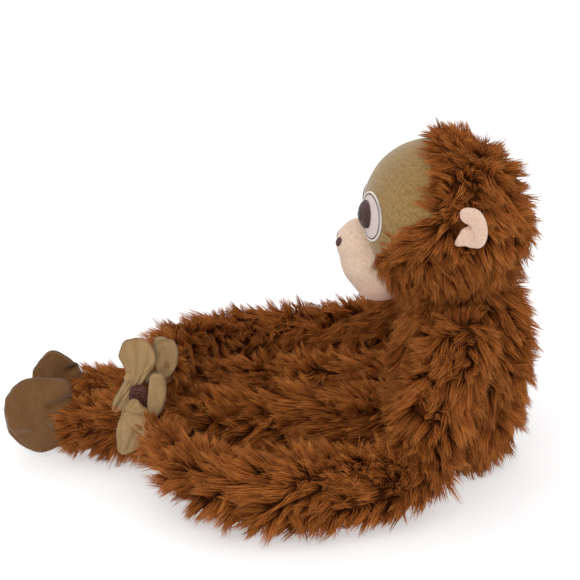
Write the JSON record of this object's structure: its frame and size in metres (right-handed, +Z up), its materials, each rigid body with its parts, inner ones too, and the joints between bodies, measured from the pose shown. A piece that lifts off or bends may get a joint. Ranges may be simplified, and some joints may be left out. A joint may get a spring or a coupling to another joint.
{
  "type": "stuffed monkey toy",
  "caption": "Sitting orangutan plush with long shaggy arms and legs, suede hands fastened palm to palm over its shins, and a smooth face.",
  "frame": {"origin": "on the floor, under the middle of the seat", "axes": "+Z up, the toy faces -Y, its left side is +X"},
  "size_m": [0.2652, 0.3562, 0.241],
  "materials": {
    "fur": "long shaggy acrylic fur, rust brown, tips lighter than roots",
    "face_plush": "short-pile plush, olive tan",
    "peach_plush": "short-pile plush, peach",
    "ear_lining": "short-pile plush, pinkish peach",
    "eye_patch": "felt, pale pinkish grey, with a stitched edge",
    "brown_embroidery": "dark brown satin stitch",
    "hand_suede": "tan faux suede",
    "foot_suede": "tan brown faux suede",
    "hook_tape": "brown hook tape",
    "loop_tape": "brown loop tape",
    "filling": "white polyester fibre filling",
    "bean_bag_cloth": "thin white cotton",
    "beans": "small plastic beans"
  },
  "bodies": {
    "torso": {"torso_cover": "fur", "torso_stuffing": "filling", "bean_bag": "bean_bag_cloth", "bean_filling": "beans"},
    "head": {"head_cover": "fur", "head_stuffing": "filling", "face_panel": "face_plush", "muzzle_cover": "peach_plush", "muzzle_stuffing": "filling", "nostrils": "brown_embroidery", "left_eye_patch": "eye_patch", "left_eye": "brown_embroidery", "left_ear": "peach_plush", "left_ear_lining": "ear_lining", "right_eye_patch": "eye_patch", "right_eye": "brown_embroidery", "right_ear": "peach_plush", "right_ear_lining": "ear_lining"},
    "left_upper_arm": {"left_upper_arm_cover": "fur", "left_upper_arm_stuffing": "filling"},
    "left_forearm": {"left_forearm_cover": "fur", "left_forearm_stuffing": "filling"},
    "left_hand": {"left_hand_palm": "hand_suede", "left_hand_stuffing": "filling", "left_hand_back": "hand_suede", "left_thumb": "hand_suede", "left_wrist_cuff": "hand_suede", "left_hook_pad": "hook_tape"},
    "left_leg": {"left_leg_cover": "fur", "left_leg_stuffing": "filling"},
    "left_foot": {"left_foot_sole": "foot_suede", "left_foot_upper": "foot_suede", "left_foot_stuffing": "filling", "left_big_toe": "foot_suede", "left_ankle_cuff": "foot_suede"},
    "right_upper_arm": {"right_upper_arm_cover": "fur", "right_upper_arm_stuffing": "filling"},
    "right_forearm": {"right_forearm_cover": "fur", "right_forearm_stuffing": "filling"},
    "right_hand": {"right_hand_palm": "hand_suede", "right_hand_stuffing": "filling", "right_hand_back": "hand_suede", "right_thumb": "hand_suede", "right_wrist_cuff": "hand_suede", "right_loop_pad": "loop_tape"},
    "right_leg": {"right_leg_cover": "fur", "right_leg_stuffing": "filling"},
    "right_foot": {"right_foot_sole": "foot_suede", "right_foot_upper": "foot_suede", "right_foot_stuffing": "filling", "right_big_toe": "foot_suede", "right_ankle_cuff": "foot_suede"}
  },
  "joints": [
    {"name": "neck", "type": "hinge", "parent": "torso", "child": "head", "pos_m": [0, -0.015, 0.18], "axis": [0, 0, 1], "range_deg": [-30, 30]},
    {"name": "left_shoulder", "type": "hinge", "parent": "torso", "child": "left_upper_arm", "pos_m": [0.06, -0.002, 0.112], "axis": [-1, 0, 0], "range_deg": [0, 120]},
    {"name": "left_elbow", "type": "hinge", "parent": "left_upper_arm", "child": "left_forearm", "pos_m": [0.088, -0.034, 0.036], "axis": [-1, 0, 0], "range_deg": [0, 40]},
    {"name": "left_wrist", "type": "hinge", "parent": "left_forearm", "child": "left_hand", "pos_m": [0.054, -0.204, 0.036], "axis": [0, 0, 1], "range_deg": [0, 30]},
    {"name": "left_hip", "type": "hinge", "parent": "torso", "child": "left_leg", "pos_m": [0.025, -0.052, 0.038], "axis": [0.014, 0.9981, 0.0606], "range_deg": [-25, 25]},
    {"name": "left_ankle", "type": "hinge", "parent": "left_leg", "child": "left_foot", "pos_m": [0.022, -0.266, 0.025], "axis": [-1, 0, 0], "range_deg": [0, 25]},
    {"name": "right_shoulder", "type": "hinge", "parent": "torso", "child": "right_upper_arm", "pos_m": [-0.06, -0.002, 0.112], "axis": [-1, 0, 0], "range_deg": [0, 120]},
    {"name": "right_elbow", "type": "hinge", "parent": "right_upper_arm", "child": "right_forearm", "pos_m": [-0.092, -0.06, 0.064], "axis": [-1, 0, 0], "range_deg": [0, 40]},
    {"name": "right_wrist", "type": "hinge", "parent": "right_forearm", "child": "right_hand", "pos_m": [0.024, -0.205, 0.069], "axis": [0, 0, -1], "range_deg": [0, 30]},
    {"name": "right_hip", "type": "hinge", "parent": "torso", "child": "right_leg", "pos_m": [-0.025, -0.052, 0.038], "axis": [0.0141, -0.9988, -0.0471], "range_deg": [-25, 25]},
    {"name": "right_ankle", "type": "hinge", "parent": "right_leg", "child": "right_foot", "pos_m": [-0.022, -0.264, 0.028], "axis": [-1, 0, 0], "range_deg": [0, 25]}
  ]
}
